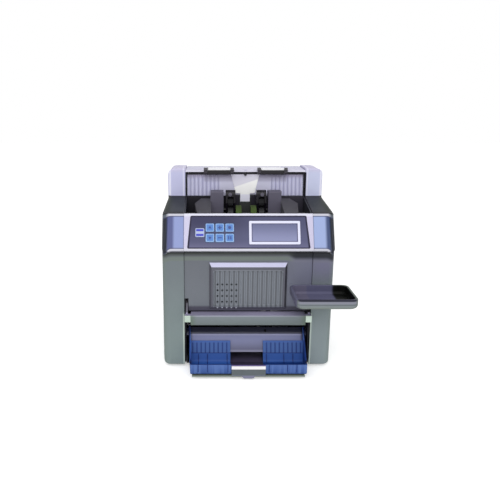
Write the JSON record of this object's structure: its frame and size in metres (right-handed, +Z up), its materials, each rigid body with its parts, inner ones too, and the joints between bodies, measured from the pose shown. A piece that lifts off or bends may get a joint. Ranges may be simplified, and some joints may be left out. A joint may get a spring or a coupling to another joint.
{
  "type": "banknote counter",
  "caption": "Desktop banknote counter: top hopper, sloping key and display panel, grilled front door, swinging exit flap, open stacker pocket and a small side tray.",
  "frame": {"origin": "on the table, under the centre of the box around the whole counter, side tray included", "axes": "+X to the right as seen from the front, +Y to the rear, +Z up"},
  "size_m": [0.301, 0.3324, 0.325],
  "materials": {
    "grey_cover": "satin grey",
    "silver_trim": "silver paint",
    "wing_blue": "blue silver paint",
    "lavender": "satin lavender",
    "dark_plastic": "matte charcoal",
    "dark_steel": "dark coating",
    "black_plastic": "black",
    "white_gloss": "gloss white",
    "membrane": "dark violet film",
    "lcd": "display window",
    "key_blue": "blue silicone",
    "stacker_blue": "clear blue",
    "steel": "zinc plated",
    "rubber": "black rubber",
    "green_rubber": "green rubber",
    "circuit_green": "circuit board"
  },
  "bodies": {
    "base": {"base_plate": "steel", "foot_1": "rubber", "foot_2": "rubber", "foot_3": "rubber", "foot_4": "rubber", "left_side_frame": "dark_steel", "right_side_frame": "dark_steel", "left_side_cover": "grey_cover", "right_side_cover": "grey_cover", "left_panel_wing": "wing_blue", "right_panel_wing": "wing_blue", "left_hopper_side": "lavender", "right_hopper_side": "lavender", "top_rail": "lavender", "rear_cover": "grey_cover", "hopper_back_wall": "lavender", "centre_guide": "white_gloss", "hopper_floor": "dark_plastic", "left_roller_arm": "black_plastic", "right_roller_arm": "black_plastic", "drive_motor": "steel", "drive_belt": "rubber", "feed_belt": "rubber", "panel_bezel": "silver_trim", "key_membrane": "membrane", "display_frame": "white_gloss", "display_window": "lcd", "control_board": "circuit_green", "front_door": "grey_cover", "speaker_grille": "grey_cover", "stacker_plate": "lavender", "left_stacker_tray": "stacker_blue", "right_stacker_tray": "stacker_blue", "stacker_centre": "silver_trim", "power_inlet": "black_plastic", "side_tray": "grey_cover", "power_supply": "steel"},
    "rear_door_body": {"rear_door": "grey_cover"},
    "feed_rotor": {"feed_shaft": "dark_plastic", "left_kicker_roller": "green_rubber", "right_kicker_roller": "green_rubber"},
    "drum_rotor": {"transport_drum": "rubber"},
    "stacker_rotor": {"stacker_shaft": "steel", "left_stacking_wheel": "black_plastic", "right_stacking_wheel": "black_plastic"},
    "motor_rotor": {"motor_pulley": "steel"},
    "left_roller_body": {"left_arm_roller": "rubber"},
    "right_roller_body": {"right_arm_roller": "rubber"},
    "left_support_body": {"left_note_support": "black_plastic"},
    "right_support_body": {"right_note_support": "black_plastic"},
    "flap_body": {"exit_flap": "grey_cover"},
    "screw_body": {"gap_screw": "black_plastic"},
    "switch_body": {"power_switch": "black_plastic"},
    "key_1_body": {"key_1": "key_blue"},
    "key_2_body": {"key_2": "key_blue"},
    "key_3_body": {"key_3": "key_blue"},
    "key_4_body": {"key_4": "key_blue"},
    "key_5_body": {"key_5": "key_blue"},
    "key_6_body": {"key_6": "key_blue"},
    "key_7_body": {"key_7": "white_gloss"}
  },
  "joints": [
    {"name": "transport_spin", "type": "hinge", "parent": "base", "child": "drum_rotor", "pos_m": [-0.0105, 0.01578, 0.196], "axis": [1, 0, 0], "continuous": true},
    {"name": "feed_spin", "type": "hinge", "parent": "base", "child": "feed_rotor", "pos_m": [-0.0105, 0.00378, 0.245], "axis": [1, 0, 0], "continuous": true},
    {"name": "stacker_spin", "type": "hinge", "parent": "base", "child": "stacker_rotor", "pos_m": [-0.0105, -0.02222, 0.054], "axis": [1, 0, 0], "continuous": true},
    {"name": "motor_spin", "type": "hinge", "parent": "base", "child": "motor_rotor", "pos_m": [-0.0105, 0.10278, 0.062], "axis": [1, 0, 0], "continuous": true},
    {"name": "left_roller_spin", "type": "hinge", "parent": "base", "child": "left_roller_body", "pos_m": [-0.037, 0.00778, 0.26704], "axis": [1, 0, 0], "continuous": true},
    {"name": "right_roller_spin", "type": "hinge", "parent": "base", "child": "right_roller_body", "pos_m": [0.016, 0.00778, 0.26704], "axis": [1, 0, 0], "continuous": true},
    {"name": "left_support_flip", "type": "hinge", "parent": "base", "child": "left_support_body", "pos_m": [-0.0571, 0.02278, 0.3175], "axis": [1, 0, 0], "range_deg": [0, 95]},
    {"name": "right_support_flip", "type": "hinge", "parent": "base", "child": "right_support_body", "pos_m": [0.0361, 0.02278, 0.3175], "axis": [1, 0, 0], "range_deg": [0, 95]},
    {"name": "exit_flap_swing", "type": "hinge", "parent": "base", "child": "flap_body", "pos_m": [-0.0105, -0.06872, 0.116], "axis": [-1, 0, 0], "range_deg": [0, 50]},
    {"name": "rear_door_swing", "type": "hinge", "parent": "base", "child": "rear_door_body", "pos_m": [-0.0105, 0.15828, 0.1215], "axis": [-1, 0, 0], "range_deg": [0, 75]},
    {"name": "gap_screw_turn", "type": "hinge", "parent": "base", "child": "screw_body", "pos_m": [-0.0105, 0.02828, 0.321], "axis": [0, 0, 1], "range_deg": [-180, 180]},
    {"name": "power_switch_rock", "type": "hinge", "parent": "base", "child": "switch_body", "pos_m": [-0.05, 0.15718, 0.04], "axis": [1, 0, 0], "range_deg": [0, 9]},
    {"name": "key_1_press", "type": "slide", "parent": "base", "child": "key_1_body", "axis": [0, 0.9098, -0.415], "range_m": [0, 0.0012], "stiffness_N_per_m": 500},
    {"name": "key_2_press", "type": "slide", "parent": "base", "child": "key_2_body", "axis": [0, 0.9098, -0.415], "range_m": [0, 0.0012], "stiffness_N_per_m": 500},
    {"name": "key_3_press", "type": "slide", "parent": "base", "child": "key_3_body", "axis": [0, 0.9098, -0.415], "range_m": [0, 0.0012], "stiffness_N_per_m": 500},
    {"name": "key_4_press", "type": "slide", "parent": "base", "child": "key_4_body", "axis": [0, 0.9098, -0.415], "range_m": [0, 0.0012], "stiffness_N_per_m": 500},
    {"name": "key_5_press", "type": "slide", "parent": "base", "child": "key_5_body", "axis": [0, 0.9098, -0.415], "range_m": [0, 0.0012], "stiffness_N_per_m": 500},
    {"name": "key_6_press", "type": "slide", "parent": "base", "child": "key_6_body", "axis": [0, 0.9098, -0.415], "range_m": [0, 0.0012], "stiffness_N_per_m": 500},
    {"name": "key_7_press", "type": "slide", "parent": "base", "child": "key_7_body", "axis": [0, 0.9098, -0.415], "range_m": [0, 0.0012], "stiffness_N_per_m": 500}
  ],
  "couplings": [
    {"joint": "feed_spin", "follows": "transport_spin", "ratio": 1.3},
    {"joint": "stacker_spin", "follows": "transport_spin", "ratio": 1.1818},
    {"joint": "motor_spin", "follows": "transport_spin", "ratio": 1.4444},
    {"joint": "left_roller_spin", "follows": "transport_spin", "ratio": -2.275},
    {"joint": "right_roller_spin", "follows": "transport_spin", "ratio": -2.275}
  ]
}
